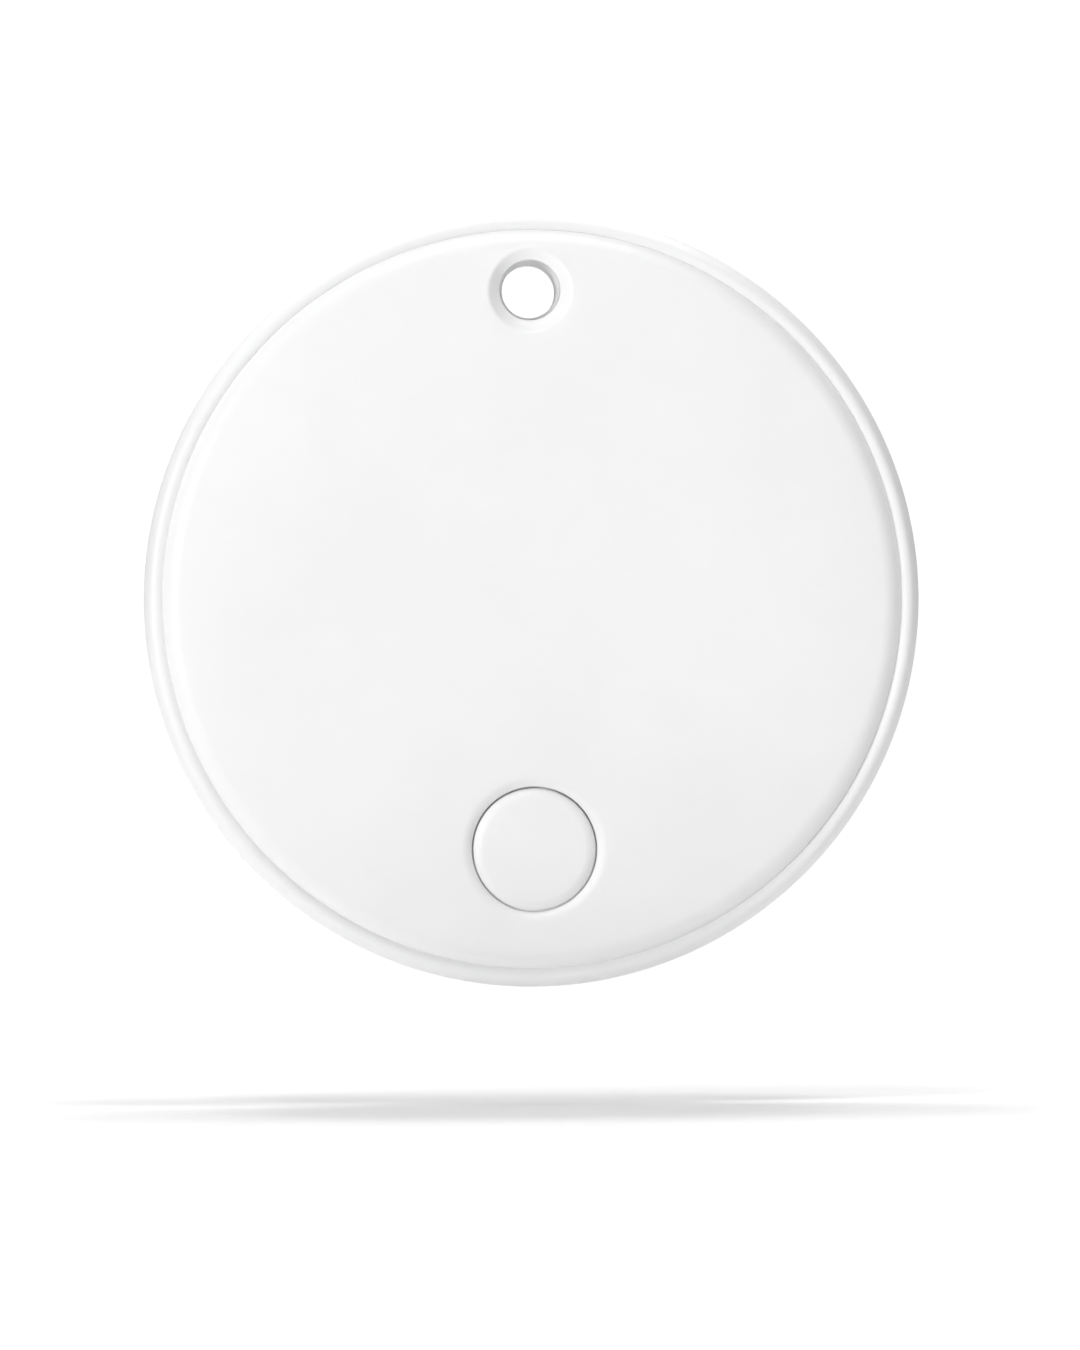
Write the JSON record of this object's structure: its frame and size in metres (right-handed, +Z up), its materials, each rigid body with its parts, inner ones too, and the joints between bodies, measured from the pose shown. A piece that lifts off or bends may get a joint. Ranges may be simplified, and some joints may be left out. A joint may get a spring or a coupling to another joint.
{
  "type": "bluetooth tracker tag",
  "caption": "Thin round white tracker tag with a bevelled lanyard hole near the top edge, a flush round push button near the bottom edge and a pull-off rear cover over a coin cell.",
  "frame": {"origin": "on the lanyard hole's axis, half way through the tag's thickness", "axes": "+Z up towards the top edge past the lanyard hole, with the button below it; +Y out of the rear cover, so the front face looks along -Y; +X to the right as the front is looked at"},
  "size_m": [0.0382, 0.0072, 0.0382],
  "materials": {
    "case_plastic": "fine moulded satin white",
    "seal_rubber": "smooth moulded rubber",
    "pad_foam": "fine closed-cell foam",
    "clear_silicone": "milky silicone",
    "chip_resin": "moulded black resin",
    "bright_steel": "nickel-plated steel",
    "plunger_plastic": "smooth ivory",
    "board_laminate": "solder mask over glass laminate",
    "antenna_ceramic": "unglazed fired ceramic",
    "ferrite": "dark ferrite",
    "capacitor_ceramic": "tan ceramic with tinned ends",
    "resistor_ceramic": "black glaze with tinned ends",
    "gold_plate": "gold-plated spring metal",
    "buzzer_brass": "rolled brass",
    "adhesive": "double-sided adhesive film",
    "cell_steel": "nickel-plated drawn steel",
    "gasket_plastic": "moulded polypropylene",
    "cathode_powder": "pressed powder",
    "separator_paper": "non-woven",
    "anode_metal": "soft dull metal"
  },
  "bodies": {
    "case": {"front_cover": "case_plastic", "mid_housing": "case_plastic", "battery_seal": "seal_rubber", "button_membrane": "clear_silicone", "switch_body": "chip_resin", "switch_plate": "bright_steel", "switch_dome": "bright_steel", "circuit_board": "board_laminate", "board_screws": "bright_steel", "radio_chip": "chip_resin", "motion_sensor": "chip_resin", "sound_driver": "chip_resin", "main_crystal": "bright_steel", "clock_crystal": "bright_steel", "chip_antenna": "antenna_ceramic", "power_inductor": "ferrite", "bulk_capacitors": "capacitor_ceramic", "chip_capacitors": "capacitor_ceramic", "chip_resistors": "resistor_ceramic", "contact_negative": "gold_plate", "contact_positive": "gold_plate", "buzzer_plate": "buzzer_brass", "buzzer_ceramic": "antenna_ceramic", "buzzer_adhesive": "adhesive", "buzzer_springs": "gold_plate"},
    "button": {"button_cap": "case_plastic"},
    "plunger": {"switch_plunger": "plunger_plastic"},
    "back": {"rear_cover": "case_plastic", "battery_pad": "pad_foam"},
    "coin_cell": {"battery_can": "cell_steel", "battery_cap": "cell_steel", "battery_gasket": "gasket_plastic", "battery_cathode": "cathode_powder", "battery_separator": "separator_paper", "battery_anode": "anode_metal"}
  },
  "joints": [
    {"name": "button_press", "type": "slide", "parent": "case", "child": "button", "axis": [0, 1, 0], "range_m": [0, 0.0002], "stiffness_N_per_m": 4000, "springref_m": -0.0002, "deforming": ["button_membrane", "switch_dome"]},
    {"name": "switch_press", "type": "slide", "parent": "case", "child": "plunger", "axis": [0, 1, 0], "range_m": [0, 0.0002], "deforming": ["switch_dome"]},
    {"name": "rear_cover_pull", "type": "slide", "parent": "case", "child": "back", "axis": [0, 1, 0], "range_m": [0, 0.02]},
    {"name": "coin_cell_pull", "type": "slide", "parent": "case", "child": "coin_cell", "axis": [0, 1, 0], "range_m": [0, 0.01]}
  ],
  "couplings": [
    {"joint": "switch_press", "follows": "button_press", "ratio": 1},
    {"joint": "coin_cell_pull", "follows": "rear_cover_pull", "ratio": 0.5}
  ]
}
